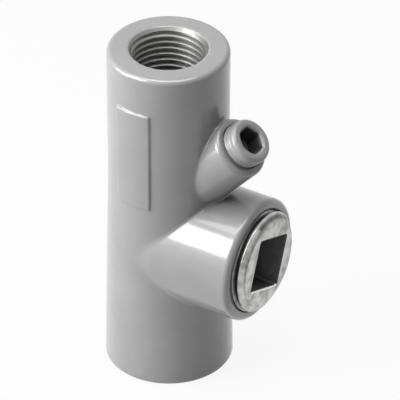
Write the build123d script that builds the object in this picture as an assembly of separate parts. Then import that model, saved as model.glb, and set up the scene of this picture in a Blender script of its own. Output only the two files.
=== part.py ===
# Conduit sealing fitting: a cast body with a female conduit thread at each end, a sealing chamber
# between them, a large side hub for packing the fibre dam and a small boss for pouring the compound.
# Each of the two side openings is closed by a threaded plug.
#
# Millimetres. The origin is the middle of the bottom conduit opening, +Z runs up the body's axis,
# and both side openings lie in the XZ plane, towards +X.
# A thread is drawn plain: a hole at the thread's root radius, a plug at its crest radius.

import os
from math import radians, tan

from build123d import *

# Outside of the body, which is slightly waisted by the mould's draft
body_length = 98.0
foot_radius = 17.4
waist_radius = 16.3
head_radius = 16.5
waist_height = 60.0
end_rounding = 1.3

# Conduit openings, 1/2-14 taper pipe thread, with an integral bushing behind each thread
conduit_root_radius = 10.6
conduit_thread_depth = 16.0
bushing_radius = 7.9
bushing_thickness = 3.4
bushing_rounding = 1.4

# Sealing chamber
chamber_wall = 3.8
chamber_slope = 6.0
chamber_rounding = 3.0

# Large side hub, square to the body
hub_height = 39.7
hub_reach = 28.6
hub_root_radius = 14.3
hub_wall = 2.9
hub_edge_rounding = 1.6
hub_runout_sink = 0.3
hub_runout_length = 6.0
hub_passage_radius = 12.0

# Small boss, leaning up from the body
boss_start_height = 51.8
boss_elevation = 45.0
boss_reach = 32.2
boss_root_radius = 6.3
boss_countersink = 0.5
boss_wall = 2.0
boss_draft = 2.3
boss_edge_rounding = 0.7
boss_passage_radius = 5.4
boss_blend = 1.2

# Raised blank pad on the body's side
pad_start_angle = -113.0
pad_end_angle = -76.0
pad_bottom = 56.5
pad_top = body_length - 11.6
pad_relief = 0.5
pad_root = 1.0
pad_edge_rounding = 0.3

# Both plugs: clearance between crest and root, and the thread left behind the plug's heel
thread_clearance = 0.08
thread_run_past = 2.3

# Large plug, 1 1/8 in thread, with a square recess
large_plug_length = 15.0
large_plug_protrusion = 2.8
large_plug_nose_taper = 2.3
large_plug_nose_length = 1.2
large_plug_heel_chamfer = 1.0
square_across_flats = 14.3
square_turn = -22.0
square_depth = 10.5
square_corner_radius = 0.6

# Small plug, 1/4 in taper thread, with a hex recess
small_plug_length = 12.0
small_plug_protrusion = 4.6
small_plug_edge_rounding = 1.1
small_plug_heel_chamfer = 0.8
hex_across_flats = 6.35
hex_depth = 6.0
hex_mouth_chamfer = 0.7

# Outside radii of the side openings, and how deep their threads run
hub_radius = hub_root_radius + hub_wall
boss_radius = boss_root_radius + boss_wall
hub_thread_depth = large_plug_length - large_plug_protrusion + thread_run_past
boss_thread_depth = small_plug_length - small_plug_protrusion + thread_run_past

# Planes whose Z runs out along each side opening, from the body's axis
hub_plane = Plane(origin=(0, 0, hub_height), x_dir=(0, 1, 0), z_dir=(1, 0, 0))
boss_direction = Vector(1, 0, 0).rotate(Axis.Y, -boss_elevation)
boss_plane = Plane(origin=(0, 0, boss_start_height), x_dir=(0, 1, 0), z_dir=boss_direction)


def body_radius(height):
    """The outside radius of the body at a height, between the foot, the waist and the head."""
    if height < waist_height:
        return foot_radius + (waist_radius - foot_radius) * height / waist_height
    rise = (height - waist_height) / (body_length - waist_height)
    return waist_radius + (head_radius - waist_radius) * rise


def turned(points, roundings=()):
    """A solid turned about Z from an outline of (radius, height) points, closed along the axis.

    roundings is a list of (index of the point, radius).
    """
    outline = [(0, points[0][1]), *points, (0, points[-1][1])]
    face = make_face(Polyline(*outline, close=True))
    for index, radius in roundings:
        corner = Vector(*points[index], 0)
        vertex = face.vertices().sort_by_distance(corner)[0]
        face = fillet(vertex, radius)
    return revolve(Plane.XZ * face, axis=Axis.Z)


def body_outside():
    """The body without its side openings."""
    return turned(
        [(foot_radius, 0), (waist_radius, waist_height), (head_radius, body_length)],
        [(0, end_rounding), (2, end_rounding)],
    )


def wireway():
    """What the wires and the compound fill: two threads, two bushings and the chamber between them."""
    chamber_radius = waist_radius - chamber_wall
    bushing_end = conduit_thread_depth + bushing_thickness
    lower = [
        (conduit_root_radius, 0),
        (conduit_root_radius, conduit_thread_depth),
        (bushing_radius, conduit_thread_depth),
        (bushing_radius, bushing_end),
        (chamber_radius, bushing_end + chamber_slope),
    ]
    upper = [(radius, body_length - height) for radius, height in reversed(lower)]
    top = len(lower) + len(upper) - 1
    roundings = [(2, bushing_rounding), (3, bushing_rounding), (4, chamber_rounding)]
    return turned(lower + upper, roundings + [(top - index, radius) for index, radius in roundings])


def hub_outside():
    """The large hub, which runs out into the body's side at its inner end."""
    inner = (0, body_radius(hub_height) - hub_runout_sink)
    outer = (hub_runout_length, hub_radius)
    runout = TangentArc(outer, inner, tangent=(-1, 0))
    rest = Polyline(outer, (hub_reach, hub_radius), (hub_reach, 0), (0, 0), inner)
    face = make_face(runout + rest)
    edge = face.vertices().sort_by_distance(Vector(hub_reach, hub_radius, 0))[0]
    face = fillet(edge, hub_edge_rounding)
    return Pos(0, 0, hub_height) * revolve(Plane.XZ * face, axis=Axis.X)


def boss_outside():
    """The small boss, a drafted cylinder."""
    spread = boss_reach * tan(radians(boss_draft))
    boss = turned([(boss_radius + spread, 0), (boss_radius, boss_reach)], [(1, boss_edge_rounding)])
    return boss_plane * boss


def pad():
    """The raised pad, which follows the wall it stands on."""
    heights = [pad_bottom, pad_top]
    if pad_bottom < waist_height < pad_top:
        heights.insert(1, waist_height)
    outside = [(body_radius(height) + pad_relief, height) for height in heights]
    inside = [(body_radius(height) - pad_root, height) for height in reversed(heights)]
    face = make_face(Polyline(*outside, *inside, close=True))
    raised = revolve(Plane.XZ * face, axis=Axis.Z, revolution_arc=pad_end_angle - pad_start_angle)
    rim = [edge for edge in raised.edges() if on_pad_rim(edge @ 0.5)]
    return Rot(0, 0, pad_start_angle) * fillet(rim, pad_edge_rounding)


def on_pad_rim(middle):
    """Whether an edge of the raised pad, known by its middle, borders its outer face."""
    proud = (middle.X**2 + middle.Y**2) ** 0.5 > body_radius(middle.Z)
    return proud and abs(middle.Z - waist_height) > pad_edge_rounding


def hub_hole():
    """The large hub's thread and the cored passage behind it."""
    step = hub_reach - hub_thread_depth
    return hub_plane * turned(
        [
            (hub_passage_radius, 0),
            (hub_passage_radius, step),
            (hub_root_radius, step),
            (hub_root_radius, hub_reach),
        ]
    )


def boss_hole():
    """The small boss's thread, its countersunk mouth and the cored passage behind it."""
    step = boss_reach - boss_thread_depth
    return boss_plane * turned(
        [
            (boss_passage_radius, 0),
            (boss_passage_radius, step),
            (boss_root_radius, step),
            (boss_root_radius, boss_reach - boss_countersink),
            (boss_root_radius + boss_countersink, boss_reach),
        ]
    )


def fitting_body():
    """The whole casting, bored and cored."""
    trunk = body_outside() + hub_outside()
    boss = boss_outside()
    outside = trunk + boss
    outside = fillet(new_edges(trunk, boss, combined=outside), boss_blend)
    return outside + pad() - wireway() - hub_hole() - boss_hole()


def large_closure_plug():
    """The large plug, a threaded disc with a square recess."""
    crest = hub_root_radius - thread_clearance
    front = hub_reach + large_plug_protrusion
    back = front - large_plug_length
    plug = turned(
        [
            (crest - large_plug_heel_chamfer, back),
            (crest, back + large_plug_heel_chamfer),
            (crest, front - large_plug_nose_length),
            (crest - large_plug_nose_taper, front),
        ]
    )
    square = RectangleRounded(square_across_flats, square_across_flats, square_corner_radius)
    recess = extrude(Pos(0, 0, front) * Rot(0, 0, square_turn) * square, amount=-square_depth)
    return hub_plane * (plug - recess)


def small_closure_plug():
    """The small plug, a threaded stud with a hex recess."""
    crest = boss_root_radius - thread_clearance
    front = boss_reach + small_plug_protrusion
    back = front - small_plug_length
    plug = turned(
        [(crest - small_plug_heel_chamfer, back), (crest, back + small_plug_heel_chamfer), (crest, front)],
        [(2, small_plug_edge_rounding)],
    )
    hexagon = RegularPolygon(hex_across_flats / 2, 6, major_radius=False)
    recess = extrude(Pos(0, 0, front) * hexagon, amount=-hex_depth)
    half_corner = hex_across_flats / 3**0.5
    mouth = turned(
        [
            (half_corner - hex_mouth_chamfer, front - 2 * hex_mouth_chamfer),
            (half_corner + hex_mouth_chamfer, front),
        ]
    )
    return boss_plane * (plug - recess - mouth)


os.makedirs("parts", exist_ok=True)
for make in (fitting_body, large_closure_plug, small_closure_plug):
    export_step(make(), f"parts/{make.__name__}.step")
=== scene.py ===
"""Conduit sealing fitting: a grey cast body with threaded openings, a large square-recess plug and a
small hex-recess plug, on a plain white stage."""

import math
from typing import NamedTuple

import bmesh
import bpy
import numpy as np
from bpy.props import FloatProperty, FloatVectorProperty, IntProperty, PointerProperty
from mathutils import Matrix, Vector
from mathutils.geometry import delaunay_2d_cdt


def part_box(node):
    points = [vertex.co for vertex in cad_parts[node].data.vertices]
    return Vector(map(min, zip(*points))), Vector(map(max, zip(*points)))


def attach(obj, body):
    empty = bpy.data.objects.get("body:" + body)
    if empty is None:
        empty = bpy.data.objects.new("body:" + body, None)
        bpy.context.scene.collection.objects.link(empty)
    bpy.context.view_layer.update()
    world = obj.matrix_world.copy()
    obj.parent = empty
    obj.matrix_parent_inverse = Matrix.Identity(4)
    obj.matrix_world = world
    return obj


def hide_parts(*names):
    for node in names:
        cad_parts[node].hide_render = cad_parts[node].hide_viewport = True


bl_info = {
    "name": "Conduit Sealing Fitting",
    "version": (1, 0, 0),
    "blender": (4, 5, 0),
    "location": "View3D > Sidebar > Fitting",
    "description": "Builds the looks of a cast conduit sealing fitting around its packed model",
    "category": "Add Mesh",
}

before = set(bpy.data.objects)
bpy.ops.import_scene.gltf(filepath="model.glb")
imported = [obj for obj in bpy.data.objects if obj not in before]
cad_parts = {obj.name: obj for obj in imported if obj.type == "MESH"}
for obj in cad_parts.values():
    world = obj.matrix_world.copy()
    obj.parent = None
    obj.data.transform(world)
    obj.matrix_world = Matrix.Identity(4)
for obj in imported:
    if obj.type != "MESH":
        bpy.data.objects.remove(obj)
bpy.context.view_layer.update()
MM = 0.001
TURN = 2 * math.pi
BODY_LOW, BODY_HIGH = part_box("fitting_body")
BODY_LENGTH = BODY_HIGH.z - BODY_LOW.z


def length(name, millimetres, description):
    """A size in metres, with its default given in millimetres."""
    return FloatProperty(
        name=name, description=description, default=millimetres * MM, unit="LENGTH", precision=5
    )


def angle(name, degrees, description):
    """An angle, with its default given in degrees."""
    return FloatProperty(name=name, description=description, default=math.radians(degrees), subtype="ANGLE")


def share(name, value, description):
    """A number from 0 to 1."""
    return FloatProperty(
        name=name, description=description, default=value, min=0.0, max=1.0, subtype="FACTOR"
    )


def colour(name, rgb, description):
    """A colour."""
    return FloatVectorProperty(
        name=name, description=description, default=rgb, size=3, min=0.0, max=1.0, subtype="COLOR"
    )


class CastingSizes(bpy.types.PropertyGroup):
    """Sizes of the cast body."""

    foot_radius: length("Foot radius", 17.4, "Outside radius at the bottom")
    waist_radius: length("Waist radius", 16.3, "Outside radius at the waist")
    head_radius: length("Head radius", 16.5, "Outside radius at the top")
    waist_height: length("Waist height", 60.0, "Height of the waist")
    end_rounding: length("End rounding", 1.3, "Rounding of the outer edge of both ends")
    conduit_root: length("Conduit thread root", 10.6, "Root radius of the conduit threads")
    conduit_depth: length("Conduit thread depth", 16.0, "How deep the conduit threads run")
    bushing_radius: length("Bushing radius", 7.9, "Radius of the smooth neck behind each thread")
    bushing_thickness: length("Bushing thickness", 3.4, "Length of that neck")
    bushing_rounding: length("Bushing rounding", 1.4, "Rounding of the neck's lips")
    chamber_wall: length("Chamber wall", 3.8, "Wall of the sealing chamber at the waist")
    chamber_slope: length("Chamber slope", 6.0, "Length of the chamber's sloping ends")
    hub_height: length("Hub height", 39.7, "Height of the large hub's axis")
    hub_reach: length("Hub reach", 28.6, "From the body's axis to the large hub's face")
    hub_root: length("Hub thread root", 14.3, "Root radius of the large hub's thread")
    hub_wall: length("Hub wall", 2.9, "Wall of the large hub")
    hub_rounding: length("Hub rounding", 1.6, "Rounding of the large hub's edge")
    hub_runout_sink: length("Run-out sink", 0.3, "How far the hub's inner end lies under the body's skin")
    hub_runout: length("Run-out", 6.0, "Length over which the hub runs into the body's side")
    hub_passage: length("Hub passage", 12.0, "Radius of the cored passage behind the large thread")
    hub_thread: length("Hub thread length", 14.5, "How deep the large hub's thread runs")
    boss_height: length("Boss height", 51.8, "Where the small boss's axis crosses the body's axis")
    boss_elevation: angle("Boss elevation", 45.0, "How far the small boss leans up")
    boss_reach: length("Boss reach", 32.2, "From the body's axis to the small boss's face")
    boss_root: length("Boss thread root", 6.3, "Root radius of the small boss's thread")
    boss_wall: length("Boss wall", 2.0, "Wall of the small boss at its face")
    boss_draft: angle("Boss draft", 2.3, "Taper of the small boss's outside")
    boss_rounding: length("Boss rounding", 1.2, "Rounding of the small boss's edge")
    boss_passage: length("Boss passage", 5.4, "Radius of the cored passage behind the small thread")
    boss_thread: length("Boss thread length", 9.7, "How deep the small boss's hole is threaded")
    boss_lining: length("Boss lining", 7.9, "How deep its thread is whole, clear of the chamber")
    blend: length("Hub blend", 0.5, "Width over which the large hub and the body flow together")
    boss_blend: length("Boss blend", 0.45, "Width over which the small boss and the rest flow together")
    pad_start: angle("Pad start", -113.0, "Angle about the body where the raised pad starts")
    pad_end: angle("Pad end", -76.0, "Angle about the body where the raised pad ends")
    pad_bottom: length("Pad bottom", 56.5, "Height of the pad's lower edge")
    pad_margin: length("Pad margin", 11.6, "From the pad's upper edge to the top of the body")
    pad_relief: length("Pad relief", 0.5, "How far the pad stands proud")
    cell: length("Cell", 1.02, "Coarse spacing of the casting's mesh")


class ThreadSizes(bpy.types.PropertyGroup):
    """Sizes of the threads."""

    conduit_pitch: length("Conduit pitch", 1.814, "Pitch of the 1/2-14 pipe thread")
    conduit_height: length("Conduit thread height", 1.2, "From root to crest")
    conduit_mouth: length("Conduit countersink", 0.05, "Countersink of the conduit openings")
    conduit_taper: share("Conduit taper", 0.03125, "Radius lost per length of the pipe thread")
    large_pitch: length("Large pitch", 2.117, "Pitch of the large plug's thread")
    large_height: length("Large thread height", 1.4, "From root to crest")
    large_mouth: length("Large countersink", 0.35, "Countersink of the large hub")
    small_pitch: length("Small pitch", 1.411, "Pitch of the 1/4-18 pipe thread")
    small_height: length("Small thread height", 0.8, "From root to crest")
    small_mouth: length("Small countersink", 0.05, "Countersink of the small boss")
    conduit_phase: share("Conduit thread start", 0.5, "Where round each end its thread starts")
    large_phase: share("Large thread start", 0.844, "Where round the large hub its thread starts")
    small_phase: share("Small thread start", 0.5, "Where round the small boss its thread starts")
    per_turn: IntProperty(name="Points a turn", description="Mesh points in one pitch", default=12, min=6)


class PlugSizes(bpy.types.PropertyGroup):
    """Sizes of the two plugs."""

    clearance: length("Clearance", 0.08, "Between a plug's crest and its thread's root")
    large_length: length("Large plug length", 15.0, "Length of the large plug")
    large_protrusion: length("Large protrusion", 2.8, "How far the large plug stands out")
    large_nose_taper: length("Large nose taper", 2.3, "Radius lost along the large plug's nose")
    large_nose: length("Large nose", 1.2, "Length of the large plug's nose")
    large_heel: length("Large heel", 1.0, "Chamfer of the large plug's inner end")
    # Painted shade: from this far out of its hub, the large plug's thread darkens toward the mouth.
    large_mouth_shade: length("Large oil", 0.9, "How far out of its hub the large plug's thread is oily")
    square: length("Square", 14.3, "Across the flats of the square recess")
    square_corner: length("Square corner", 0.6, "Corner radius of the square recess")
    square_depth: length("Square depth", 10.5, "Depth of the square recess")
    square_lip: length("Square lip", 0.4, "Width of the worn lip round the square recess")
    square_turn: angle("Square turn", -22.0, "How far the plug is turned as it stands")
    small_length: length("Small plug length", 12.0, "Length of the small plug")
    small_protrusion: length("Small protrusion", 4.6, "How far the small plug stands out")
    small_rounding: length("Small rounding", 1.1, "Rounding of the small plug's edge")
    small_heel: length("Small heel", 0.8, "Chamfer of the small plug's inner end")
    hexagon: length("Hexagon", 6.35, "Across the flats of the hex recess")
    hexagon_depth: length("Hexagon depth", 6.0, "Depth of the hex recess")
    hexagon_mouth: length("Hexagon mouth", 0.7, "Width of the hex recess's countersink")
    hexagon_floor: length("Hexagon floor", 0.4, "Height of the bevel at the hex recess's floor")


class Finish(bpy.types.PropertyGroup):
    """Colours and gloss."""

    paint: colour("Paint", (0.23, 0.23, 0.233), "Grey enamel of the casting")
    plug_paint: colour("Plug paint", (0.26, 0.26, 0.263), "The same enamel on the small plug")
    cut_metal: colour("Cut metal", (0.21, 0.21, 0.205), "Bare metal of the cut threads")
    plating: colour("Plating", (0.56, 0.56, 0.55), "Dull plating of the large plug")
    # Also painted shade: the dark threads stand in for the shade in the gaps round both plugs.
    oil_and_shade: colour("Oily metal", (0.22, 0.22, 0.22), "Oiled cut metal of the side openings' threads")
    # Worn is used as a painted highlight on the upward-facing lower edge of the square recess.
    worn: colour("Worn metal", (0.75, 0.75, 0.74), "Bright worn lip of the square recess")
    # Recess is painted shade: near black where the drive recesses lie in shade.
    recess: colour("Recess", (0.028, 0.028, 0.028), "Dark inside of the drive recesses")
    inside: colour("Inside", (0.20, 0.20, 0.20), "Cast metal inside the chamber")
    paint_roughness: share("Paint roughness", 0.36, "Roughness of the enamel's body")
    paint_coat: share("Paint gloss", 0.8, "Weight of the enamel's glossy skin")


class StageSettings(bpy.types.PropertyGroup):
    """The camera."""

    azimuth: angle("Azimuth", 31.39, "Direction of the camera round the fitting")
    elevation: angle("Elevation", 34.64, "How far the camera looks down")
    roll: angle("Roll", 0.03, "Turn of the camera about its own axis")
    distance: length("Distance", 1650.0, "From the camera to the fitting")
    focal_pixels: FloatProperty(name="Focal length", description="In pixels of the picture", default=6134.8)
    target_x: FloatProperty(name="Target X", description="Picture column of the body", default=168.86)
    target_y: FloatProperty(name="Target Y", description="Picture row of the body", default=200.47)


GROUPS = {
    "casting_sizes": CastingSizes,
    "thread_sizes": ThreadSizes,
    "plug_sizes": PlugSizes,
    "fitting_finish": Finish,
    "stage_settings": StageSettings,
}


# Shapes as distances: negative inside, zero on the skin

PAD_EDGE = 0.3 * MM
PAD_BLEND = 0.2 * MM
PAD_BORDER_REACH = 0.6 * MM
SKIN_DEPTH = 0.5 * MM
FAR = 1.0
SLOPE_STEP = 0.01 * MM
LEAST_SLOPE = 0.2
LONGEST_MOVE = 0.3 * MM


def smooth_union(a, b, width):
    """Both shapes, flowing together over a width."""
    near = np.clip(1 - np.abs(a - b) / width, 0, None)
    return np.minimum(a, b) - near * near * width / 4


def rounded_union(a, b, radius):
    """Both hollows, with the corner of the wall between them rounded."""
    gap = np.hypot(np.maximum(radius - a, 0), np.maximum(radius - b, 0))
    return np.maximum(radius, np.minimum(a, b)) - gap


def rounded_end(side, end, radius):
    """Inside both the side and the end, with their edge rounded."""
    u, v = side + radius, end + radius
    outside = np.hypot(np.maximum(u, 0), np.maximum(v, 0))
    return np.minimum(np.maximum(u, v), 0) + outside - radius


def along_and_round(points, start, direction):
    """How far points lie along an axis, and how far from it."""
    offset = points - np.array(start)
    along = offset @ np.array(direction)
    return along, np.linalg.norm(offset - along[:, None] * np.array(direction), axis=1)


class Casting:
    """The casting's skin as a distance, built from its sizes."""

    def __init__(self, sizes):
        self.s = sizes
        self.hub_radius = sizes.hub_root + sizes.hub_wall
        self.boss_radius = sizes.boss_root + sizes.boss_wall
        lean = sizes.boss_elevation
        self.boss_axis = (math.cos(lean), 0.0, math.sin(lean))
        self.boss_start = (0.0, 0.0, sizes.boss_height)
        self.hub_start = (0.0, 0.0, sizes.hub_height)
        self.chamber_radius = sizes.waist_radius - sizes.chamber_wall
        self.neck_end = sizes.conduit_depth + sizes.bushing_thickness

    def wall_radius(self, height):
        """The body's outside radius at a height."""
        s = self.s
        return np.interp(
            height,
            [0, s.waist_height, BODY_LENGTH],
            [s.foot_radius, s.waist_radius, s.head_radius],
        )

    def trunk(self, p):
        """The body without its side openings."""
        side = np.hypot(p[:, 0], p[:, 1]) - self.wall_radius(p[:, 2])
        end = np.maximum(-p[:, 2], p[:, 2] - BODY_LENGTH)
        return rounded_end(side, end, self.s.end_rounding)

    def hub(self, p):
        """The large hub, which runs out into the body's side."""
        s = self.s
        along, radial = along_and_round(p, self.hub_start, (1, 0, 0))
        drop = self.hub_radius - (self.wall_radius(s.hub_height) - s.hub_runout_sink)
        bend = (s.hub_runout**2 + drop**2) / (2 * drop)
        inward = np.clip(s.hub_runout - along, 0, s.hub_runout * 1.5)
        radius = self.hub_radius - bend + np.sqrt(bend**2 - inward**2)
        outer = rounded_end(radial - radius, along - s.hub_reach, s.hub_rounding)
        return np.maximum(outer, -along)

    def boss(self, p):
        """The small boss, a drafted cylinder."""
        s = self.s
        along, radial = along_and_round(p, self.boss_start, self.boss_axis)
        radius = self.boss_radius + (s.boss_reach - along) * math.tan(s.boss_draft)
        outer = rounded_end(radial - radius, along - s.boss_reach, s.boss_rounding)
        return np.maximum(outer, -along)

    def pad(self, p):
        """The raised pad."""
        s = self.s
        proud = np.hypot(p[:, 0], p[:, 1]) - self.wall_radius(p[:, 2]) - s.pad_relief
        middle, half = (s.pad_start + s.pad_end) / 2, (s.pad_end - s.pad_start) / 2
        turned = np.arctan2(p[:, 1], p[:, 0]) - middle
        turned = np.abs((turned + math.pi) % TURN - math.pi)
        beside = (turned - half) * s.waist_radius
        top = BODY_LENGTH - s.pad_margin
        beyond = np.maximum(s.pad_bottom - p[:, 2], p[:, 2] - top)
        return rounded_end(proud, np.maximum(beside, beyond), PAD_EDGE)

    def outside(self, p):
        """Everything that shows from outside."""
        s = self.s
        form = smooth_union(self.trunk(p), self.hub(p), s.blend)
        form = smooth_union(form, self.boss(p), s.boss_blend)
        return smooth_union(form, self.pad(p), PAD_BLEND)

    def wireway(self, p):
        """The hollow along the body: two threads, two necks and the chamber."""
        s = self.s
        radial = np.hypot(p[:, 0], p[:, 1])
        depth = np.minimum(p[:, 2], BODY_LENGTH - p[:, 2])
        threads = np.maximum(radial - s.conduit_root, depth - s.conduit_depth)
        necks = radial - s.bushing_radius
        rise = self.chamber_radius - s.bushing_radius
        slope = (radial - s.bushing_radius) * s.chamber_slope - (depth - self.neck_end) * rise
        slope = slope / math.hypot(s.chamber_slope, rise)
        chamber = np.maximum(radial - self.chamber_radius, slope)
        hollow = rounded_union(threads, necks, s.bushing_rounding)
        return rounded_union(hollow, chamber, s.bushing_rounding)

    def side_hollow(self, p, start, direction, passage, root, step):
        """A side opening: a cored passage, then a wider thread."""
        along, radial = along_and_round(p, start, direction)
        cored = np.maximum(radial - passage, -along)
        return np.minimum(cored, np.maximum(radial - root, step - along))

    def hollow(self, p):
        """Everything that is open inside."""
        s = self.s
        hub_step, boss_step = s.hub_reach - s.hub_thread, s.boss_reach - s.boss_thread
        hub_axis, boss_axis = (1, 0, 0), self.boss_axis
        large = self.side_hollow(p, self.hub_start, hub_axis, s.hub_passage, s.hub_root, hub_step)
        small = self.side_hollow(p, self.boss_start, boss_axis, s.boss_passage, s.boss_root, boss_step)
        return np.minimum(np.minimum(self.wireway(p), large), small)

    def distance(self, p):
        """The whole casting."""
        return np.maximum(self.outside(p), -self.hollow(p))

    def detail(self, p):
        """How close points are to an edge, a blend or the pad's border that needs a finer mesh."""
        s = self.s
        trunk, hub, boss = self.trunk(p), self.hub(p), self.boss(p)
        hub_along, hub_radial = along_and_round(p, self.hub_start, (1, 0, 0))
        boss_along, boss_radial = along_and_round(p, self.boss_start, self.boss_axis)
        depth = np.minimum(p[:, 2], BODY_LENGTH - p[:, 2])
        rims = [
            (depth, np.hypot(p[:, 0], p[:, 1]) - self.wall_radius(p[:, 2]), s.end_rounding),
            (hub_along - s.hub_reach, hub_radial - self.hub_radius, s.hub_rounding),
            (boss_along - s.boss_reach, boss_radial - self.boss_radius, s.boss_rounding),
        ]
        near = [np.maximum(np.abs(along), np.abs(beside)) - rounding for along, beside, rounding in rims]
        near += [np.abs(trunk - hub), np.abs(np.minimum(trunk, hub) - boss)]
        pad = np.abs(self.pad(p) + 0.5 * s.pad_relief)
        near.append(np.where(np.abs(trunk) < PAD_BORDER_REACH, pad, FAR))
        return np.where(self.outside(p) > -SKIN_DEPTH, np.minimum.reduce(near), FAR)


def gradient(field, points):
    """The slope of a distance field."""
    slopes = []
    for axis in range(3):
        shift = np.zeros(3)
        shift[axis] = SLOPE_STEP
        slopes.append((field(points + shift) - field(points - shift)) / (2 * SLOPE_STEP))
    return np.stack(slopes, 1)


def settle(field, points, rounds=5):
    """Moves points onto a skin, each round by no more than the longest move."""
    for _ in range(rounds):
        slope = gradient(field, points)
        size = np.maximum((slope**2).sum(1), LEAST_SLOPE)
        move = slope * (field(points) / size)[:, None]
        reach = np.linalg.norm(move, axis=1, keepdims=True)
        points = points - move * np.minimum(1, LONGEST_MOVE / np.maximum(reach, 1e-12))
    return points


def skin_net(field, low, high, cell):
    """Points and quads of a distance field's skin, one point in each cell that the skin crosses."""
    axes = [np.arange(a - 1.5 * cell, b + 2.5 * cell, cell) for a, b in zip(low, high)]
    grid = np.stack(np.meshgrid(*axes, indexing="ij"), -1)
    value = field(grid.reshape(-1, 3)).reshape(grid.shape[:3])
    inner = tuple(n - 1 for n in value.shape)
    total, count = np.zeros(inner + (3,)), np.zeros(inner)
    for axis in range(3):
        others = [a for a in range(3) if a != axis]
        for corner in range(4):
            low_at = [0, 0, 0]
            low_at[others[0]], low_at[others[1]] = corner & 1, corner >> 1
            high_at = list(low_at)
            high_at[axis] = 1
            a = value[tuple(slice(o, o + n) for o, n in zip(low_at, inner))]
            b = value[tuple(slice(o, o + n) for o, n in zip(high_at, inner))]
            start = grid[tuple(slice(o, o + n) for o, n in zip(low_at, inner))]
            crossed = (a < 0) != (b < 0)
            part = np.where(crossed, a / np.where(crossed, a - b, 1), 0)
            spot = start.copy()
            spot[..., axis] += part * cell
            total += spot * crossed[..., None]
            count += crossed
    used = count > 0
    number = np.full(inner, -1)
    number[used] = np.arange(used.sum())
    points = total[used] / count[used][:, None]
    quads = []
    for axis in range(3):
        b, c = (axis + 1) % 3, (axis + 2) % 3
        first = np.take(value, range(value.shape[axis] - 1), axis) < 0
        second = np.take(value, range(1, value.shape[axis]), axis) < 0
        at = np.argwhere(first != second)
        at = at[(at[:, b] > 0) & (at[:, c] > 0)]
        at = at[(at[:, b] < inner[b]) & (at[:, c] < inner[c])]
        leaving = first[tuple(at.T)]
        corners = []
        for back_b, back_c in ((1, 1), (0, 1), (0, 0), (1, 0)):
            cell_at = at.copy()
            cell_at[:, b] -= back_b
            cell_at[:, c] -= back_c
            corners.append(number[tuple(cell_at.T)])
        found = np.stack(corners, 1)
        quads.append(np.where(leaving[:, None], found, found[:, ::-1]))
    return points, np.concatenate(quads)


# Mesh helpers

MERGE_DISTANCE = 1e-7
FLAT_TOLERANCE = 1e-9


def mesh_arrays(bm):
    """A bmesh's points, as an array."""
    return np.array([v.co[:] for v in bm.verts])


def write_points(bm, points):
    """Puts changed points back into a bmesh."""
    for vert, point in zip(bm.verts, points):
        vert.co = point


def refine(bm, field, wanted, within):
    """Divides the faces that lie close to detail, and settles them on the skin."""
    centres = np.array([f.calc_center_median()[:] for f in bm.faces])
    near = wanted(centres) < within
    edges = {e for f, pick in zip(bm.faces, near) if pick for e in f.edges}
    bmesh.ops.subdivide_edges(bm, edges=list(edges), cuts=1, use_grid_fill=True)
    bm.verts.ensure_lookup_table()
    write_points(bm, settle(field, mesh_arrays(bm), 3))


def relax(bm, field, rounds):
    """Evens out a mesh along its skin."""
    bm.verts.index_update()
    pairs = np.array([[e.verts[0].index, e.verts[1].index] for e in bm.edges])
    for _ in range(rounds):
        points = mesh_arrays(bm)
        total, count = np.zeros_like(points), np.zeros(len(points))
        for a, b in (pairs.T, pairs.T[::-1]):
            np.add.at(total, a, points[b])
            np.add.at(count, a, 1)
        middle = total / np.maximum(count, 1)[:, None]
        write_points(bm, settle(field, points + 0.5 * (middle - points), 3))


def circle(radius, height, count):
    """Points round Z, at a height."""
    turns = [TURN * step / count for step in range(count)]
    return [Vector((radius * math.cos(turn), radius * math.sin(turn), height)) for turn in turns]


def encloses(loop, spot):
    """Whether a flat loop of points goes round a spot."""
    crossings = 0
    for a, b in zip(loop, loop[1:] + loop[:1]):
        if (a.y > spot.y) != (b.y > spot.y):
            crossings += spot.x < a.x + (spot.y - a.y) / (b.y - a.y) * (b.x - a.x)
    return crossings % 2 == 1


def fill_between(bm, outer, inner, direction, material=0):
    """Fills the flat band between an outer loop and an inner loop of verts, facing direction."""
    normal = Vector(direction).normalized()
    right = normal.orthogonal().normalized()
    up = normal.cross(right)
    verts = outer + inner
    flat = [Vector((v.co.dot(right), v.co.dot(up))) for v in verts]
    edges = [(i, (i + 1) % len(outer)) for i in range(len(outer))]
    if inner:
        edges += [(len(outer) + i, len(outer) + (i + 1) % len(inner)) for i in range(len(inner))]
    found = delaunay_2d_cdt(flat, edges, [], 1, FLAT_TOLERANCE)
    for face in found[2]:
        corners = [found[3][i][0] for i in face]
        middle = sum((flat[c] for c in corners), Vector((0, 0))) / len(corners)
        if min(corners) >= len(outer) and encloses(flat[len(outer):], middle):
            continue
        made = bm.faces.new([verts[c] for c in corners])
        made.normal_update()
        if made.normal.dot(normal) < 0:
            made.normal_flip()
        made.material_index = material


def open_loops(bm):
    """The loops of verts round a mesh's holes."""
    beside = {}
    for edge in bm.edges:
        if edge.is_boundary:
            a, b = edge.verts
            beside.setdefault(a, []).append(b)
            beside.setdefault(b, []).append(a)
    loops, seen = [], set()
    for first in beside:
        if first in seen:
            continue
        loop, here = [first], first
        seen.add(first)
        while True:
            ahead = [v for v in beside[here] if v not in seen]
            if not ahead:
                break
            here = ahead[0]
            seen.add(here)
            loop.append(here)
        loops.append(loop)
    return loops


def finished(name, bm, materials, body, node):
    """A finished piece from a bmesh, riding on its body in place of its node."""
    bmesh.ops.remove_doubles(bm, verts=bm.verts, dist=MERGE_DISTANCE)
    mesh = bpy.data.meshes.new(name)
    bm.to_mesh(mesh)
    bm.free()
    for material in materials:
        mesh.materials.append(material)
    mesh.shade_smooth()
    piece = bpy.data.objects.new(name, mesh)
    bpy.context.scene.collection.objects.link(piece)
    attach(piece, body)
    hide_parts(node)
    return piece


# The thread, one Geometry Nodes tree for every thread on the fitting


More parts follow.
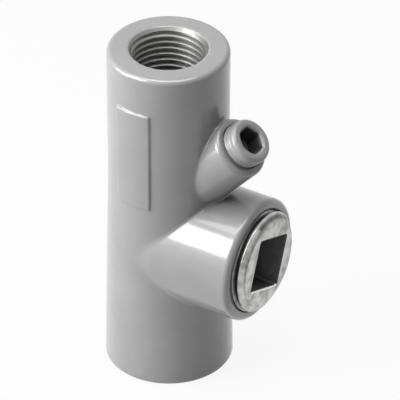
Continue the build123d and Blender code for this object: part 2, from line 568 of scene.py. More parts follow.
class Tree:
    """Short ways to add nodes to a tree."""

    def __init__(self, tree):
        self.tree = tree

    def node(self, kind, settings=None, **inputs):
        """A node with its settings, and with its inputs set or linked by name."""
        made = self.tree.nodes.new(kind)
        for key, value in (settings or {}).items():
            setattr(made, key, value)
        for key, value in inputs.items():
            at = int(key[1:]) if key[0] == "_" else key.replace("_", " ")
            self.feed(made.inputs[at], value)
        return made

    def feed(self, socket, value):
        """Links a socket to another, or sets its value."""
        if isinstance(value, bpy.types.NodeSocket):
            self.tree.links.new(value, socket)
        else:
            socket.default_value = value

    def math(self, operation, *values, clamp=False):
        """The result of a Math node."""
        made = self.node("ShaderNodeMath", {"operation": operation, "use_clamp": clamp})
        for socket, value in zip(made.inputs, values):
            self.feed(socket, value)
        return made.outputs[0]

    def noise(self, scale, detail, roughness):
        """Noise over the piece's own coordinates."""
        place = self.node("ShaderNodeTexCoord").outputs["Object"]
        settings = {"Vector": place, "Scale": scale, "Detail": detail, "Roughness": roughness}
        return self.node("ShaderNodeTexNoise", **settings).outputs[0]

    def spread(self, value, low, high, to_low, to_high):
        """A value moved from one range to another, and held there."""
        made = self.node("ShaderNodeMapRange", Value=value, _1=low, _2=high, _3=to_low, _4=to_high)
        return made.outputs[0]

    def scaled(self, colour, factor):
        """A colour times a number."""
        made = self.node("ShaderNodeVectorMath", {"operation": "SCALE"}, Vector=colour, Scale=factor)
        return made.outputs[0]


THREAD_INPUTS = {
    "Around": ("NodeSocketInt", 96),
    "Along": ("NodeSocketInt", 96),
    "Length": ("NodeSocketFloat", 0.016),
    "Pitch": ("NodeSocketFloat", 0.0018),
    "Radius": ("NodeSocketFloat", 0.0106),
    "Height": ("NodeSocketFloat", 0.0013),
    "Taper": ("NodeSocketFloat", 0.0),
    "Phase": ("NodeSocketFloat", 0.0),
    "Lead": ("NodeSocketFloat", 0.0005),
    "Tail": ("NodeSocketFloat", 0.001),
    "Outer Flat": ("NodeSocketFloat", 0.1),
    "Inner Flat": ("NodeSocketFloat", 0.1),
    "Cone Radius": ("NodeSocketFloat", 0.011),
    "Cone Slope": ("NodeSocketFloat", 1.0),
    "Heel Radius": ("NodeSocketFloat", 0.011),
    "Material": ("NodeSocketMaterial", None),
}
# Painted shade on a plug's thread inside its hub's mouth: how fast it grows, and how dark it gets.
SHADE_REACH = 1.0 * MM
MOST_SHADE = 0.4
NEVER_SHADED = 1.0


def thread_tree():
    """A tube with a helical thread cut in it. It starts at its mouth, at z = 0, and runs down.

    Radius is the larger radius of the thread, and Height is how far it is cut or stands inward. Outer
    and Inner Flat are the shares of the pitch that are flat at the larger and at the smaller radius.
    A positive Cone Slope countersinks an inner thread, and a negative one tapers a plug's nose.
    """
    group = bpy.data.node_groups.get("helical thread")
    if group:
        return group
    group = bpy.data.node_groups.new("helical thread", "GeometryNodeTree")
    for name, (kind, value) in THREAD_INPUTS.items():
        socket = group.interface.new_socket(name, in_out="INPUT", socket_type=kind)
        if value is not None:
            socket.default_value = value
    group.interface.new_socket("Thread", in_out="OUTPUT", socket_type="NodeSocketGeometry")
    t = Tree(group)
    given = t.node("NodeGroupInput").outputs
    columns = t.math("ADD", given["Around"], 1)
    rows = t.math("ADD", given["Along"], 1)
    grid = t.node("GeometryNodeMeshGrid", Size_X=1.0, Size_Y=1.0, Vertices_X=columns, Vertices_Y=rows)
    place = t.node("ShaderNodeSeparateXYZ", Vector=t.node("GeometryNodeInputPosition").outputs[0]).outputs
    around = t.math("ADD", place["X"], 0.5)
    depth = t.math("MULTIPLY", t.math("ADD", place["Y"], 0.5), given["Length"])
    turns = t.math("ADD", t.math("DIVIDE", depth, given["Pitch"]), around)
    wave = t.math("FRACT", t.math("ADD", turns, given["Phase"]))
    ramp = t.math("ABSOLUTE", t.math("SUBTRACT", t.math("MULTIPLY", wave, 2.0), 1.0))
    flank = t.math("SUBTRACT", t.math("SUBTRACT", 1.0, given["Outer Flat"]), given["Inner Flat"])
    form = t.math("DIVIDE", t.math("SUBTRACT", ramp, given["Outer Flat"]), flank, clamp=True)
    lead = t.math("DIVIDE", depth, given["Lead"], clamp=True)
    left = t.math("SUBTRACT", given["Length"], depth)
    tail = t.math("DIVIDE", left, given["Tail"], clamp=True)
    cut = t.math("MULTIPLY", t.math("MULTIPLY", form, given["Height"]), t.math("MULTIPLY", lead, tail))
    major = t.math("SUBTRACT", given["Radius"], t.math("MULTIPLY", depth, given["Taper"]))
    threaded = t.math("SUBTRACT", major, cut)
    cone = t.math("SUBTRACT", given["Cone Radius"], t.math("MULTIPLY", depth, given["Cone Slope"]))
    sunk = t.math("MAXIMUM", threaded, cone)
    nosed = t.math("MINIMUM", threaded, cone)
    heel = t.math("ADD", given["Heel Radius"], left)
    nosed = t.math("MINIMUM", nosed, heel)
    inner = t.math("GREATER_THAN", given["Cone Slope"], 0.0)
    pick = t.node("GeometryNodeSwitch", {"input_type": "FLOAT"}, Switch=inner)
    t.feed(pick.inputs["False"], nosed)
    t.feed(pick.inputs["True"], sunk)
    radius = pick.outputs[0]
    turn = t.math("MULTIPLY", around, TURN)
    x = t.math("MULTIPLY", radius, t.math("COSINE", turn))
    y = t.math("MULTIPLY", radius, t.math("SINE", turn))
    spot = t.node("ShaderNodeCombineXYZ", X=x, Y=y, Z=t.math("MULTIPLY", depth, -1.0)).outputs[0]
    # Where a cone has cut the groove away, it counts as only half as deep
    bare = t.math("MAXIMUM", t.math("COMPARE", radius, threaded, 1e-5), 0.5)
    deep = t.math("MULTIPLY", t.math("DIVIDE", cut, given["Height"]), bare)
    # How deep each point lies in the groove, kept for the metals, which darken by it as painted shade.
    noted = t.node(
        "GeometryNodeStoreNamedAttribute", Geometry=grid.outputs["Mesh"], Name="groove", Value=deep
    )
    bent = t.node("GeometryNodeSetPosition", Geometry=noted.outputs[0], Position=spot)
    real = t.node("GeometryNodeRealizeInstances", Geometry=bent.outputs[0])
    dressed = t.node("GeometryNodeSetMaterial", Geometry=real.outputs[0], Material=given["Material"])
    out = t.node("NodeGroupOutput")
    group.links.new(dressed.outputs[0], out.inputs["Thread"])
    return group


def thread_mesh(values):
    """The thread's tree worked out to a plain mesh."""
    carrier = bpy.data.objects.new("thread carrier", bpy.data.meshes.new("thread carrier"))
    bpy.context.scene.collection.objects.link(carrier)
    group = thread_tree()
    modifier = carrier.modifiers.new("thread", "NODES")
    modifier.node_group = group
    for item in group.interface.items_tree:
        if item.in_out == "INPUT" and item.name in values:
            modifier[item.identifier] = values[item.name]
    depsgraph = bpy.context.evaluated_depsgraph_get()
    mesh = bpy.data.meshes.new_from_object(carrier.evaluated_get(depsgraph))
    bpy.data.objects.remove(carrier)
    return mesh


def add_thread(bm, placing, values, material, inward, left_bright=NEVER_SHADED):
    """Adds a thread to a bmesh, with painted shade on it beyond its bright length. Returns its two end
    rings of verts.
    """
    mesh = thread_mesh(values)
    columns, rows = values["Around"], values["Along"] + 1
    points = [v.co.copy() for v in mesh.vertices]
    grooves = [item.value for item in mesh.attributes["groove"].data]
    bpy.data.meshes.remove(mesh)
    groove = groove_layer(bm)
    rings = []
    for row in range(rows):
        ring_verts = []
        for column in range(columns):
            point, deep = points[column * rows + row], grooves[column * rows + row]
            vert = bm.verts.new(placing @ point)
            # Beyond the bright length the groove value is raised: painted shade inside the hub's mouth.
            mouth_shade = min(max((-point.z - left_bright) / SHADE_REACH, 0), MOST_SHADE)
            vert[groove] = max(1 - deep if inward else deep, mouth_shade)
            ring_verts.append(vert)
        rings.append(ring_verts)
    for upper, lower in zip(rings, rings[1:]):
        for column in range(columns):
            after = (column + 1) % columns
            corners = [upper[column], lower[column], lower[after], upper[after]]
            face = bm.faces.new(corners[::-1] if inward else corners)
            face.material_index = material
    return rings[0], rings[-1]


def groove_layer(bm):
    """Where a mesh keeps how deep each point lies in a thread's groove, from 0 to 1, raised inside a hub's
    mouth; the metals paint shade by it.
    """
    return bm.verts.layers.float.get("groove") or bm.verts.layers.float.new("groove")


def placing_matrix(origin, direction):
    """Puts local z along direction, with local x along world Y, at origin."""
    z = Vector(direction).normalized()
    x = Vector((0, 1, 0))
    y = z.cross(x).normalized()
    turned = Matrix((x, y, z)).transposed().to_4x4()
    return Matrix.Translation(origin) @ turned


# Materials


SURFACE_OUTPUTS = {
    "Colour": "NodeSocketColor",
    "Roughness": "NodeSocketFloat",
    "Normal": "NodeSocketVector",
}


def surface_group(name, inputs, wire):
    """A shader node group for a surface, which wire fills in the first time that it is asked for."""
    group = bpy.data.node_groups.get(name)
    if group:
        return group
    group = bpy.data.node_groups.new(name, "ShaderNodeTree")
    for socket, (kind, value) in inputs.items():
        made = group.interface.new_socket(socket, in_out="INPUT", socket_type=kind)
        made.default_value = value
    for socket, kind in SURFACE_OUTPUTS.items():
        group.interface.new_socket(socket, in_out="OUTPUT", socket_type=kind)
    t = Tree(group)
    results = wire(t, t.node("NodeGroupInput").outputs)
    out = t.node("NodeGroupOutput").inputs
    for socket, value in zip(SURFACE_OUTPUTS, results):
        t.feed(out[socket], value)
    return group


CAST_INPUTS = {
    "Wave": ("NodeSocketFloat", 0.00016),
    "Peel": ("NodeSocketFloat", 0.000012),
    "Colour": ("NodeSocketColor", (0.4, 0.4, 0.4, 1)),
    "Roughness": ("NodeSocketFloat", 0.35),
}


def wire_cast_surface(t, given):
    """The waviness of a casting and the fine peel of its enamel, as a bump and a tint."""
    wave = t.math("MULTIPLY", t.noise(160.0, 3.0, 0.5), given["Wave"])
    peel = t.math("MULTIPLY", t.noise(1300.0, 2.0, 0.5), given["Peel"])
    bump = t.node("ShaderNodeBump", Distance=1.0, Strength=1.0, Height=t.math("ADD", wave, peel))
    blotch = t.spread(t.noise(70.0, 4.0, 0.6), 0.3, 0.7, 0.94, 1.05)
    rough = t.math("MULTIPLY", given["Roughness"], t.math("SUBTRACT", 2.0, blotch))
    return t.scaled(given["Colour"], blotch), rough, bump.outputs[0]


METAL_INPUTS = {
    "Grain": ("NodeSocketFloat", 0.00001),
    "Colour": ("NodeSocketColor", (0.6, 0.6, 0.6, 1)),
    "Roughness": ("NodeSocketFloat", 0.3),
    "Stain": ("NodeSocketFloat", 0.3),
    # Darkens a thread's grooves: soot with painted shade.
    "Soot": ("NodeSocketFloat", 0.6),
}


def wire_worked_metal(t, given):
    """Grain, stains, and soot with painted shade in a thread's grooves, as a bump, a tint and a roughness.
    """
    groove = t.node("ShaderNodeAttribute", {"attribute_name": "groove"}).outputs["Fac"]
    # Soot and painted shade: the deeper in a thread's groove, the darker the metal.
    groove_soot_and_shade = t.spread(groove, 0.15, 0.6, 0.0, 1.0)
    grain = t.math("MULTIPLY", t.noise(900.0, 5.0, 0.65), given["Grain"])
    bump = t.node("ShaderNodeBump", Distance=1.0, Strength=1.0, Height=grain)
    stain = t.spread(t.noise(300.0, 5.0, 0.6), 0.42, 0.66, 0.0, 1.0)
    left_bright = t.math("SUBTRACT", 1.0, t.math("MULTIPLY", stain, given["Stain"]))
    left_bright = t.math("MULTIPLY", left_bright, t.math("SUBTRACT", 1.0, t.math("MULTIPLY", groove_soot_and_shade, given["Soot"])))
    rough = t.math("ADD", given["Roughness"], t.math("MULTIPLY", stain, 0.15))
    return t.scaled(given["Colour"], left_bright), rough, bump.outputs[0]


def cast_surface():
    """The group for enamel over cast metal."""
    return surface_group("cast surface", CAST_INPUTS, wire_cast_surface)


def worked_metal():
    """The group for bare metal."""
    return surface_group("worked metal", METAL_INPUTS, wire_worked_metal)


def surface_material(name, group, values, sockets):
    """A material whose Principled BSDF takes its colour, roughness and bump from a group."""
    if name in bpy.data.materials:
        return bpy.data.materials[name]
    material = bpy.data.materials.new(name)
    material.use_nodes = True
    t = Tree(material.node_tree)
    shader = material.node_tree.nodes["Principled BSDF"]
    effect = t.node("ShaderNodeGroup", {"node_tree": group})
    for key, value in values.items():
        effect.inputs[key].default_value = value
    for socket, output in zip(("Base Color", "Roughness", "Normal"), SURFACE_OUTPUTS):
        t.feed(shader.inputs[socket], effect.outputs[output])
    for key, value in sockets.items():
        shader.inputs[key].default_value = value
    return material


def enamel(finish):
    """Grey semi-gloss enamel over the casting."""
    values = {"Colour": (*finish.paint, 1), "Roughness": finish.paint_roughness}
    gloss = {"Coat Weight": finish.paint_coat, "Coat Roughness": 0.1, "Coat IOR": 1.5}
    return surface_material("grey enamel", cast_surface(), values, gloss)


def plug_enamel(finish):
    """The same enamel, thicker, over the small plug."""
    values = {
        "Colour": (*finish.plug_paint, 1),
        "Roughness": finish.paint_roughness,
        "Wave": 0.0002,
        "Peel": 0.00002,
    }
    gloss = {"Coat Weight": 0.3, "Coat Roughness": 0.3, "Coat IOR": 1.5}
    return surface_material("plug enamel", cast_surface(), values, gloss)


def metal(name, rgb, metallic, **values):
    """A bare metal with its own colour and its own values of the metal group."""
    values["Colour"] = (*rgb, 1)
    return surface_material(name, worked_metal(), values, {"Metallic": metallic})


def cut_thread(finish):
    """Bright cut metal of the conduit threads."""
    return metal("cut thread", finish.cut_metal, 1.0, Roughness=0.4, Grain=0.000001, Stain=0.1, Soot=0.0)


def oily_shade_thread(finish):
    """Oiled metal of the two threads that hold plugs, dull and dark so that the gaps round the plugs show
    painted shade.
    """
    return metal("oily thread", finish.oil_and_shade, 0.7, Roughness=0.4, Soot=0.5)


def plating(finish):
    """Dull plated metal of the large plug."""
    # Paints shade into the plug's grooves and inside its hub's mouth, with some soot.
    return metal("dull plating", finish.plating, 1.0, Grain=0.00003, Stain=0.5, Soot=0.75)


def worn_lip_highlight(finish):
    """Bright worn metal on the square recess's lower edge, kept only where that edge faces up to the lamps:
    a painted highlight.
    """
    return metal("worn lip", finish.worn, 1.0, Grain=0.00002, Stain=0.1)


def recess_shade(finish):
    """Near black inside the drive recesses: painted shade, with some dark oxide."""
    return metal("recess painted shade", finish.recess, 0.0, Roughness=0.45, Grain=0.00002)


def rough_inside(finish):
    """Cast metal inside the chamber."""
    return metal("rough inside", finish.inside, 0.6, Roughness=0.55, Grain=0.00006, Stain=0.4)


# Pieces

ENAMEL, CUT, INSIDE, OILY_SHADE = range(4)
PLATED, SHADED, WORN_HIGHLIGHT = range(3)
PAINTED = 0
# Lip faces that look up more steeply than this keep the painted highlight.
LIP_HIGHLIGHT_SLOPE = 0.6
RIM_GAP = 0.3 * MM
FACE_GAP = 0.05 * MM
SKIN_BAND = 0.15 * MM


class Opening(NamedTuple):
    """A threaded opening. centre is the middle of its face, and direction points out of it.

    ledge is the radius where the flat behind the thread ends, or 0 where the hole just runs on.
    """

    centre: Vector
    direction: Vector
    root: float
    depth: float
    ledge: float
    pitch: float
    height: float
    mouth: float
    taper: float
    phase: float
    around: int
    material: int


def openings(casting, threads):
    """The four threaded openings."""
    s = casting.s
    top = Opening(
        centre=Vector((0, 0, BODY_LENGTH)),
        direction=Vector((0, 0, 1)),
        root=s.conduit_root,
        depth=s.conduit_depth,
        ledge=s.bushing_radius + s.bushing_rounding,
        pitch=threads.conduit_pitch,
        height=threads.conduit_height,
        mouth=threads.conduit_mouth,
        taper=threads.conduit_taper,
        phase=threads.conduit_phase,
        around=108,
        material=CUT,
    )
    large = Opening(
        centre=Vector((s.hub_reach, 0, s.hub_height)),
        direction=Vector((1, 0, 0)),
        root=s.hub_root,
        depth=s.hub_thread,
        ledge=s.hub_passage,
        pitch=threads.large_pitch,
        height=threads.large_height,
        mouth=threads.large_mouth,
        taper=0.0,
        phase=threads.large_phase,
        around=112,
        material=OILY_SHADE,
    )
    small = Opening(
        centre=Vector(casting.boss_start) + Vector(casting.boss_axis) * s.boss_reach,
        direction=Vector(casting.boss_axis),
        root=s.boss_root,
        depth=s.boss_lining,
        ledge=0.0,
        pitch=threads.small_pitch,
        height=threads.small_height,
        mouth=threads.small_mouth,
        taper=0.0,
        phase=threads.small_phase,
        around=64,
        material=OILY_SHADE,
    )
    return [top._replace(centre=Vector((0, 0, 0)), direction=Vector((0, 0, -1))), top, large, small]


def inner_thread_values(opening, per_turn):
    """Values of the thread cut inside an opening."""
    return {
        "Around": opening.around,
        "Along": round(opening.depth / opening.pitch * per_turn),
        "Length": opening.depth,
        "Pitch": opening.pitch,
        "Radius": opening.root,
        "Height": opening.height,
        "Taper": opening.taper,
        "Phase": opening.phase,
        "Lead": 0.2 * opening.pitch,
        "Tail": 1.2 * opening.pitch,
        "Outer Flat": 0.1,
        "Inner Flat": 0.1,
        "Cone Radius": opening.root + opening.mouth,
        "Cone Slope": 1.0,
    }


def build_casting(context):
    """The whole casting: its skin, cut open at each thread, with the threads joined in."""
    scene = context.scene
    casting = Casting(scene.casting_sizes)
    threads, finish = scene.thread_sizes, scene.fitting_finish
    points, quads = skin_net(casting.distance, BODY_LOW, BODY_HIGH, scene.casting_sizes.cell)
    points = settle(casting.distance, points)
    mesh = bpy.data.meshes.new("casting skin")
    mesh.from_pydata(points.tolist(), [], quads.tolist())
    bm = bmesh.new()
    bm.from_mesh(mesh)
    bpy.data.meshes.remove(mesh)
    groove_layer(bm)
    for rounds, reach in ((3, 1.5 * MM), (2, 0.4 * MM)):
        relax(bm, casting.distance, rounds)
        refine(bm, casting.distance, casting.detail, reach)
    rows = openings(casting, threads)
    cut_openings(bm, rows)
    mark_inside(bm, casting)
    join_threads(bm, rows, threads.per_turn)
    materials = [enamel(finish), cut_thread(finish), rough_inside(finish), oily_shade_thread(finish)]
    return finished("fitting_body_casting", bm, materials, "casting", "fitting_body")


def cut_openings(bm, rows):
    """Removes the plain skin of each thread and a little of the flats at its two ends."""
    points = mesh_arrays(bm)
    gone = np.zeros(len(points), bool)
    for row in rows:
        along, radial = along_and_round(points, row.centre, row.direction)
        margin = FACE_GAP if row.ledge else RIM_GAP
        inner = (row.root + row.ledge) / 2 if row.ledge else row.root - margin
        inside = (along < FACE_GAP) & (along > -row.depth - margin)
        gone |= inside & (radial > inner) & (radial < row.root + row.mouth + RIM_GAP)
    bmesh.ops.delete(bm, geom=[v for v, pick in zip(bm.verts, gone) if pick], context="VERTS")
    loose = [v for v in bm.verts if not v.link_faces]
    bmesh.ops.delete(bm, geom=loose, context="VERTS")


def mark_inside(bm, casting):
    """Gives the faces of the hollow the inside material."""
    centres = np.array([f.calc_center_median()[:] for f in bm.faces])
    hidden = casting.outside(centres) < -SKIN_BAND
    for face, pick in zip(bm.faces, hidden):
        face.material_index = INSIDE if pick else ENAMEL


def join_threads(bm, rows, per_turn):
    """Adds each opening's thread, and closes the gaps between it and the skin."""
    loops = open_loops(bm)
    for row in rows:
        placing = placing_matrix(row.centre, row.direction)
        first, last = add_thread(bm, placing, inner_thread_values(row, per_turn), row.material, True)
        mouth = nearest_loop(loops, row.centre, row, first)
        fill_between(bm, mouth, first, row.direction, ENAMEL)
        end = nearest_loop(loops, row.centre - row.direction * row.depth, row, last)
        if row.ledge:
            fill_between(bm, last, end, row.direction, INSIDE)
        else:
            bridge(bm, last, end)


def nearest_loop(loops, middle, row, ring_verts):
    """Takes the loop that lies nearest to a ring round an opening's axis out of the list."""
    radius = (ring_verts[0].co - middle).length

    def gap(loop):
        """How far a loop lies from the ring's plane and radius."""
        spots = [v.co - middle for v in loop]
        beside = [abs(p.dot(row.direction)) for p in spots]
        beyond = [abs((p - row.direction * p.dot(row.direction)).length - radius) for p in spots]
        return (sum(beside) + sum(beyond)) / len(spots)

    loop = min(loops, key=gap)
    loops.remove(loop)
    return loop


def bridge(bm, one, other):
    """Joins two loops of verts with a band of faces."""
    edges = []
    for loop in (one, other):
        edges += [bm.edges.get((a, b)) for a, b in zip(loop, loop[1:] + loop[:1])]
    for face in bmesh.ops.bridge_loops(bm, edges=edges)["faces"]:
        face.material_index = INSIDE


def rounded_square(side, corner, turn, height, per_corner=6):
    """Points of a square with rounded corners, turned about its middle."""
    half = side / 2 - corner
    lift = Matrix.Translation((0, 0, height)) @ Matrix.Rotation(turn, 4, "Z")
    spots = []
    for quarter, (sign_x, sign_y) in enumerate(((1, 1), (-1, 1), (-1, -1), (1, -1))):
        for step in range(per_corner + 1):
            bend = math.pi / 2 * (quarter + step / per_corner)
            x = sign_x * half + corner * math.cos(bend)
            y = sign_y * half + corner * math.sin(bend)
            spots.append(lift @ Vector((x, y, 0)))
    return spots


def hexagon(across_flats, per_side=8):
    """Points of a hexagon."""
    tips = circle(across_flats / math.sqrt(3), 0, 6)
    sides = zip(tips, tips[1:] + tips[:1])
    return [a.lerp(b, step / per_side) for a, b in sides for step in range(per_side)]


def loft(bm, placing, rings, materials):
    """Joins rings of points of equal count, each band in its material. Returns the end rings of verts."""
    made = [[bm.verts.new(placing @ p) for p in points] for points in rings]
    for upper, lower, material in zip(made, made[1:], materials):
        for i in range(len(upper)):
            after = (i + 1) % len(upper)
            face = bm.faces.new([upper[i], upper[after], lower[after], lower[i]])
            face.material_index = material
    return made[0], made[-1]


def paint_lip_highlight(bm):
    """Keeps the bright lip only along the square's lower edge, where it faces up to the lamps, as a painted
    highlight; the rest of the lip takes the recess's painted shade.
    """
    bm.normal_update()
    for face in bm.faces:
        if face.material_index == WORN_HIGHLIGHT and face.normal.z < LIP_HIGHLIGHT_SLOPE:
            face.material_index = SHADED


def build_large_plug(context):
    """The large plug: its thread, its nose, its face and its square recess."""
    scene = context.scene
    casting, threads, plugs = scene.casting_sizes, scene.thread_sizes, scene.plug_sizes
    crest = casting.hub_root - plugs.clearance
    face_radius = crest - plugs.large_nose_taper
    out_by = plugs.large_protrusion
    values = {
        "Around": 160,
        "Along": round(plugs.large_length / threads.large_pitch * threads.per_turn * 1.3),
        "Length": plugs.large_length,
        "Pitch": threads.large_pitch,
        "Radius": crest,
        "Height": threads.large_height,
        "Taper": 0.0,
        "Phase": threads.large_phase - out_by / threads.large_pitch,
        "Lead": 0.1 * MM,
        "Tail": 0.8 * MM,
        "Outer Flat": 0.22,
        "Inner Flat": 0.06,
        "Cone Radius": face_radius,
        "Cone Slope": -plugs.large_nose_taper / plugs.large_nose,
        "Heel Radius": crest - plugs.large_heel,
    }
    placing = placing_matrix((casting.hub_reach + out_by, 0, casting.hub_height), (1, 0, 0))
    bm = bmesh.new()
    # Inside the hub's mouth the plug's thread takes painted shade.
    front, back = add_thread(bm, placing, values, PLATED, False, out_by - plugs.large_mouth_shade)
    side, corner, turn, lip = plugs.square, plugs.square_corner, plugs.square_turn, plugs.square_lip
    rings = [
        rounded_square(side + 2 * lip, corner + lip, turn, 0),
        rounded_square(side, corner, turn, -lip),
        rounded_square(side, corner, turn, -plugs.square_depth + lip),
        rounded_square(side - 2 * lip, corner, turn, -plugs.square_depth),
    ]
    # The square recess's walls and floor take the painted shade.
    mouth, floor = loft(bm, placing, rings, (WORN_HIGHLIGHT, SHADED, SHADED))
    paint_lip_highlight(bm)
    fill_between(bm, front, mouth, (1, 0, 0), PLATED)
    fill_between(bm, floor, [], (1, 0, 0), SHADED)
    fill_between(bm, back, [], (-1, 0, 0), PLATED)
    finish = scene.fitting_finish
    materials = [plating(finish), recess_shade(finish), worn_lip_highlight(finish)]
    return finished("large_plug", bm, materials, "large_plug", "large_closure_plug")


def build_small_plug(context):
    """The small plug: its paint-filled thread, its rounded edge and its hex recess."""
    scene = context.scene
    sizes, threads, plugs = scene.casting_sizes, scene.thread_sizes, scene.plug_sizes
    casting = Casting(sizes)
    crest = sizes.boss_root - plugs.clearance
    rounding = plugs.small_rounding
    out_by = plugs.small_protrusion
    values = {
        "Around": 120,
        "Along": round((plugs.small_length - rounding) / threads.small_pitch * threads.per_turn * 1.4),
        "Length": plugs.small_length - rounding,
        "Pitch": threads.small_pitch,
        "Radius": crest,
        "Height": threads.small_height * 0.6,
        "Taper": 0.0,
        "Phase": threads.small_phase - (out_by - rounding) / threads.small_pitch,
        "Lead": 3 * MM,
        "Tail": 0.8 * MM,
        "Outer Flat": 0.16,
        "Inner Flat": 0.16,
        "Cone Radius": crest,
        "Cone Slope": -1e-6,
        "Heel Radius": crest - plugs.small_heel,
    }
    direction = Vector(casting.boss_axis)
    front_centre = Vector(casting.boss_start) + direction * (sizes.boss_reach + out_by)
    placing = placing_matrix(front_centre, direction)
    bm = bmesh.new()
    start = placing @ Matrix.Translation((0, 0, -rounding))
    _, back = add_thread(bm, start, values, PAINTED, False)
    edge = edge_rings(crest, rounding, values["Around"])
    edge_top = loft(bm, placing, edge, [PAINTED] * len(edge))[0]
    # The hex recess's walls and floor take the painted shade.
    mouth, floor = loft(bm, placing, socket_rings(plugs), [PAINTED] * 4 + [SHADED] * 4)
    fill_between(bm, edge_top, mouth, direction, PAINTED)
    fill_between(bm, floor, [], direction, SHADED)
    fill_between(bm, back, [], -direction, PAINTED)
    finish = scene.fitting_finish
    materials = [plug_enamel(finish), recess_shade(finish)]
    return finished("small_plug", bm, materials, "small_plug", "small_closure_plug")


def edge_rings(crest, rounding, around, steps=8):
    """The small plug's rounded edge, from its face out to its side."""
    rings = []
    for step in range(steps, -1, -1):
        bend = math.pi / 2 * step / steps
        radius = crest - rounding + rounding * math.cos(bend)
        height = -rounding + rounding * math.sin(bend)
        rings.append(circle(radius, height, around)[::-1])
    return rings


def socket_rings(plugs, steps=6):
    """The hex recess, from its round countersunk mouth to its floor."""
    flat = hexagon(plugs.hexagon)
    mouth = plugs.hexagon / math.sqrt(3) + plugs.hexagon_mouth
    rings = []
    for step in range(steps + 1):
        part = step / steps
        sink = Vector((0, 0, -2 * plugs.hexagon_mouth * part * part))
        rings.append([(p.normalized() * mouth).lerp(p, part) + sink for p in flat])
    floor = Vector((0, 0, -plugs.hexagon_depth))
    above = Vector((0, 0, plugs.hexagon_floor))
    rings.append([p + floor + above for p in flat])
    rings.append([p * 0.9 + floor for p in flat])
    return rings


# Stage

PICTURE = 400.0
SENSOR = 36.0
FLOOR_HALF = 4.0
FLOOR_SUNK = 0.2 * MM
FLOOR_GLOW = 0.92
LAMPS = {
    "key box": ((-0.26, -0.42, 0.41), 0.34, 4.2),
    "side box": ((-0.53, -0.36, 0.2), 0.4, 3.6),
    "overhead box": ((0.03, 0.03, 0.77), 0.42, 3.4),
    "upper left box": ((-0.23, -0.11, 0.74), 0.28, 1.3),
}


def view_axes(settings):
    """The camera's back, right and up directions."""
    azimuth, elevation = settings.azimuth, settings.elevation
    level = math.cos(elevation)
    back = Vector((math.sin(azimuth) * level, -math.cos(azimuth) * level, math.sin(elevation)))
    right = Vector((math.cos(azimuth), math.sin(azimuth), 0))
    return back, right, back.cross(right)


def add_camera(settings):
    """A long lens that looks at the fitting from the picture's side."""
    back, right, up = view_axes(settings)
    middle = Vector((0, 0, BODY_LENGTH / 2))
    scale = settings.distance / settings.focal_pixels
    aim = middle + right * (PICTURE / 2 - settings.target_x) * scale
    aim = aim + up * (settings.target_y - PICTURE / 2) * scale
    data = bpy.data.cameras.new("camera")
    data.sensor_width = SENSOR
    data.lens = settings.focal_pixels * SENSOR / PICTURE
    data.clip_end = 20.0
    camera = bpy.data.objects.new("camera", data)
    turned = Matrix((right, up, back)).transposed().to_4x4()
    spin = Matrix.Rotation(settings.roll, 4, "Z")
    camera.matrix_world = Matrix.Translation(aim + back * settings.distance) @ turned @ spin
    bpy.context.scene.collection.objects.link(camera)
    bpy.context.scene.camera = camera


def add_lamp(name, place, size, power):
    """A square soft box that faces the fitting."""
    data = bpy.data.lights.new(name, "AREA")
    data.size, data.energy = size, power
    lamp = bpy.data.objects.new(name, data)
    toward = Vector((0, 0, BODY_LENGTH / 2)) - Vector(place)
    lamp.matrix_world = Matrix.Translation(place) @ toward.to_track_quat("-Z", "Y").to_matrix().to_4x4()
    bpy.context.scene.collection.objects.link(lamp)


def shown_white(t):
    """1 for rays from the camera, from a reflection or through glass, and 0 for rays of light."""
    path = t.node("ShaderNodeLightPath").outputs
    shown = t.math("MAXIMUM", path["Is Camera Ray"], path["Is Glossy Ray"])
    return t.math("MAXIMUM", shown, path["Is Transmission Ray"])


def add_floor():
    """A plain pale floor."""
    material = bpy.data.materials.new("stage white")
    material.use_nodes = True
    t = Tree(material.node_tree)
    shader = material.node_tree.nodes["Principled BSDF"]
    shader.inputs["Base Color"].default_value = (0.5, 0.5, 0.5, 1)
    shader.inputs["Roughness"].default_value = 0.9
    shader.inputs["Specular IOR Level"].default_value = 0.0
    glow = t.node("ShaderNodeEmission", Strength=1.0)
    mixed = t.node("ShaderNodeMixShader", _0=t.math("MULTIPLY", shown_white(t), FLOOR_GLOW))
    material.node_tree.links.new(shader.outputs[0], mixed.inputs[1])
    material.node_tree.links.new(glow.outputs[0], mixed.inputs[2])
    out = material.node_tree.nodes["Material Output"]
    material.node_tree.links.new(mixed.outputs[0], out.inputs["Surface"])
    mesh = bpy.data.meshes.new("floor")
    signs = ((-1, -1), (1, -1), (1, 1), (-1, 1))
    corners = [(x * FLOOR_HALF, y * FLOOR_HALF, -FLOOR_SUNK) for x, y in signs]
    mesh.from_pydata(corners, [], [(0, 1, 2, 3)])
    mesh.materials.append(material)
    floor = bpy.data.objects.new("floor", mesh)
    bpy.context.scene.collection.objects.link(floor)


def add_world():
    """Plain studio surroundings: white to the camera, soft grey on the fitting."""
    world = bpy.data.worlds.new("studio")
    world.use_nodes = True
    t = Tree(world.node_tree)
    shown = world.node_tree.nodes["Background"]
    shown.inputs["Color"].default_value = (1, 1, 1, 1)
    light = t.node("ShaderNodeBackground", Color=(1, 1, 1, 1), Strength=0.02)
    mixed = t.node("ShaderNodeMixShader", _0=shown_white(t))
    world.node_tree.links.new(light.outputs[0], mixed.inputs[1])
    world.node_tree.links.new(shown.outputs[0], mixed.inputs[2])
    world.node_tree.links.new(mixed.outputs[0], world.node_tree.nodes["World Output"].inputs["Surface"])
    bpy.context.scene.world = world


def build_stage(context):
    """Camera, lamps, floor and surroundings."""
    add_camera(context.scene.stage_settings)
    for name, (place, size, power) in LAMPS.items():
        add_lamp(name, place, size, power)
    add_floor()
    add_world()
    context.scene.view_settings.view_transform = "Standard"


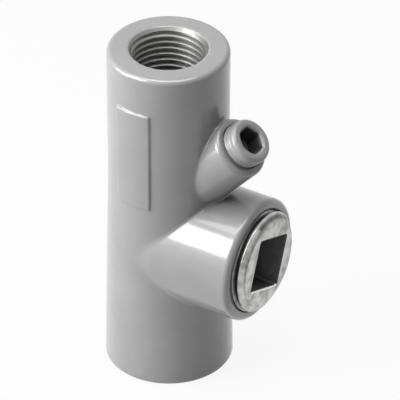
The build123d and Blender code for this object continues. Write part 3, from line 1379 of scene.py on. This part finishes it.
class FITTING_OT_stage(bpy.types.Operator):
    """Adds the camera, the lamps, the floor and the surroundings."""

    bl_idname = "fitting.stage"
    bl_label = "Stage"

    def execute(self, context):
        build_stage(context)
        return {"FINISHED"}


class FITTING_OT_casting(bpy.types.Operator):
    """Builds the casting with its four threaded openings."""

    bl_idname = "fitting.casting"
    bl_label = "Casting"

    def execute(self, context):
        build_casting(context)
        return {"FINISHED"}


class FITTING_OT_large_plug(bpy.types.Operator):
    """Builds the large plug with its square recess."""

    bl_idname = "fitting.large_plug"
    bl_label = "Large plug"

    def execute(self, context):
        build_large_plug(context)
        return {"FINISHED"}


class FITTING_OT_small_plug(bpy.types.Operator):
    """Builds the small plug with its hex recess."""

    bl_idname = "fitting.small_plug"
    bl_label = "Small plug"

    def execute(self, context):
        build_small_plug(context)
        return {"FINISHED"}


OPERATORS = [FITTING_OT_stage, FITTING_OT_casting, FITTING_OT_large_plug, FITTING_OT_small_plug]


class FITTING_PT_panel(bpy.types.Panel):
    """Lists the sizes and the pieces."""

    bl_label = "Sealing Fitting"
    bl_idname = "FITTING_PT_panel"
    bl_space_type = "VIEW_3D"
    bl_region_type = "UI"
    bl_category = "Fitting"

    def draw(self, context):
        """Draws each group of sizes, then a button for each piece."""
        for name, group in GROUPS.items():
            box = self.layout.box()
            box.label(text=group.__doc__)
            for key in group.__annotations__:
                box.prop(getattr(context.scene, name), key)
        for made in OPERATORS:
            self.layout.operator(made.bl_idname)


def register():
    """Registers the classes and hangs each group of sizes on the scene."""
    for made in [*GROUPS.values(), *OPERATORS, FITTING_PT_panel]:
        bpy.utils.register_class(made)
    for name, group in GROUPS.items():
        setattr(bpy.types.Scene, name, PointerProperty(type=group))


def unregister():
    """Undoes register."""
    for name in GROUPS:
        delattr(bpy.types.Scene, name)
    for made in reversed([*GROUPS.values(), *OPERATORS, FITTING_PT_panel]):
        bpy.utils.unregister_class(made)


def main():
    """Builds everything."""
    register()
    bpy.ops.fitting.stage()
    bpy.ops.fitting.casting()
    bpy.ops.fitting.large_plug()
    bpy.ops.fitting.small_plug()


if __name__ == "__main__":
    main()
